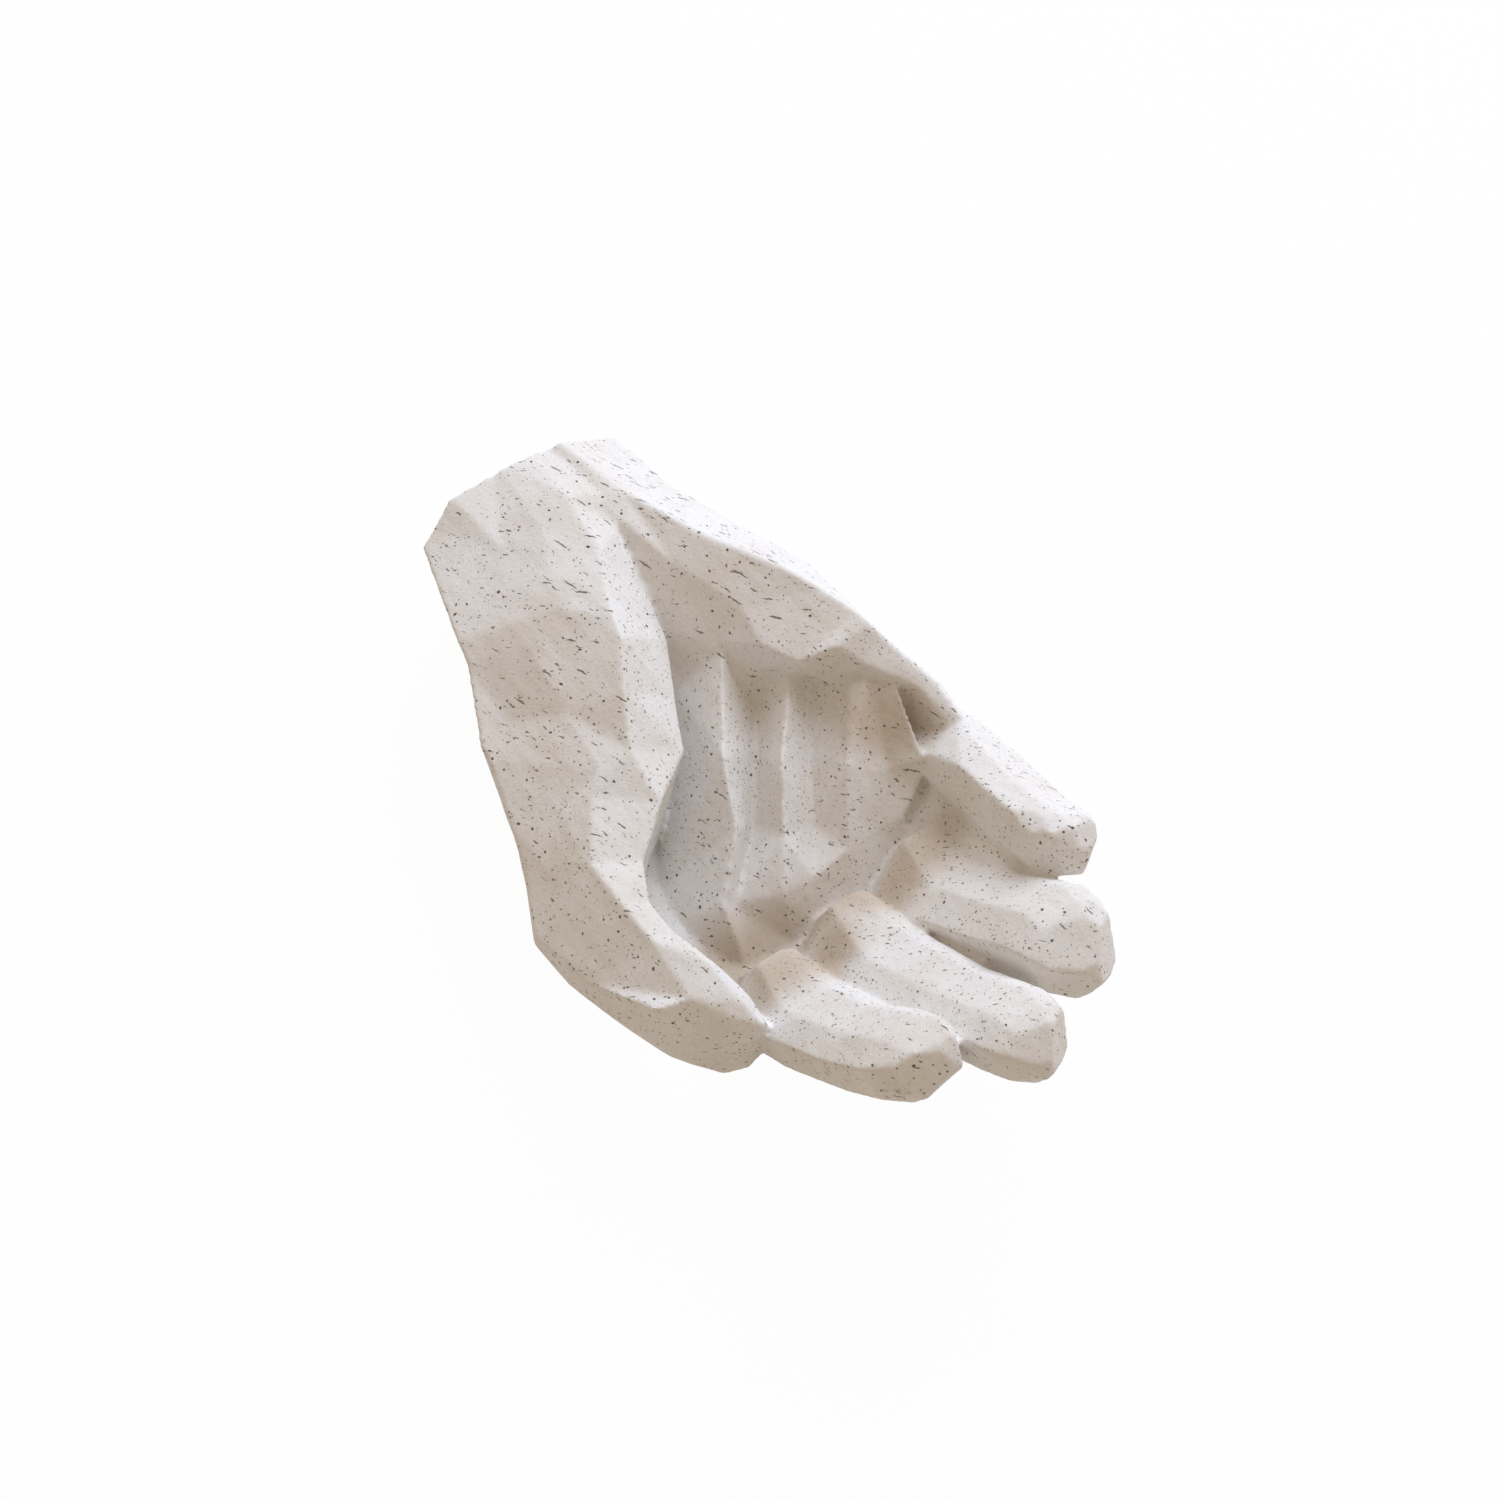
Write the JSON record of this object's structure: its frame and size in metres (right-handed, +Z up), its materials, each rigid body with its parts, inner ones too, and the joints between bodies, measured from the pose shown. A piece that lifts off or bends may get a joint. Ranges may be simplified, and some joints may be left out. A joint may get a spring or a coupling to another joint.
{
  "type": "hand sculpture",
  "caption": "Faceted cast of an open, cupped human hand lying palm up, sawn off at the wrist, with felt pads under it so that it stands on a table as an ornament or a small dish.",
  "frame": {"origin": "bottom centre of the bounding box, at the table under the middle of the hand", "axes": "+Z up out of the palm, -Y from the sawn wrist to the fingertips, +X from the thumb to the little finger"},
  "size_m": [0.097, 0.1768, 0.0595],
  "materials": {
    "hand_casting": "matte cream cast limestone or grogged stoneware with dark specks, pits and drag marks",
    "felt_pad_cuff": "grey pressed wool felt",
    "felt_pad_index_knuckle": "grey pressed wool felt",
    "felt_pad_little_knuckle": "grey pressed wool felt"
  },
  "bodies": {
    "root": {"hand_casting": "hand_casting", "felt_pad_cuff": "felt_pad_cuff", "felt_pad_index_knuckle": "felt_pad_index_knuckle", "felt_pad_little_knuckle": "felt_pad_little_knuckle"}
  },
  "joints": []
}
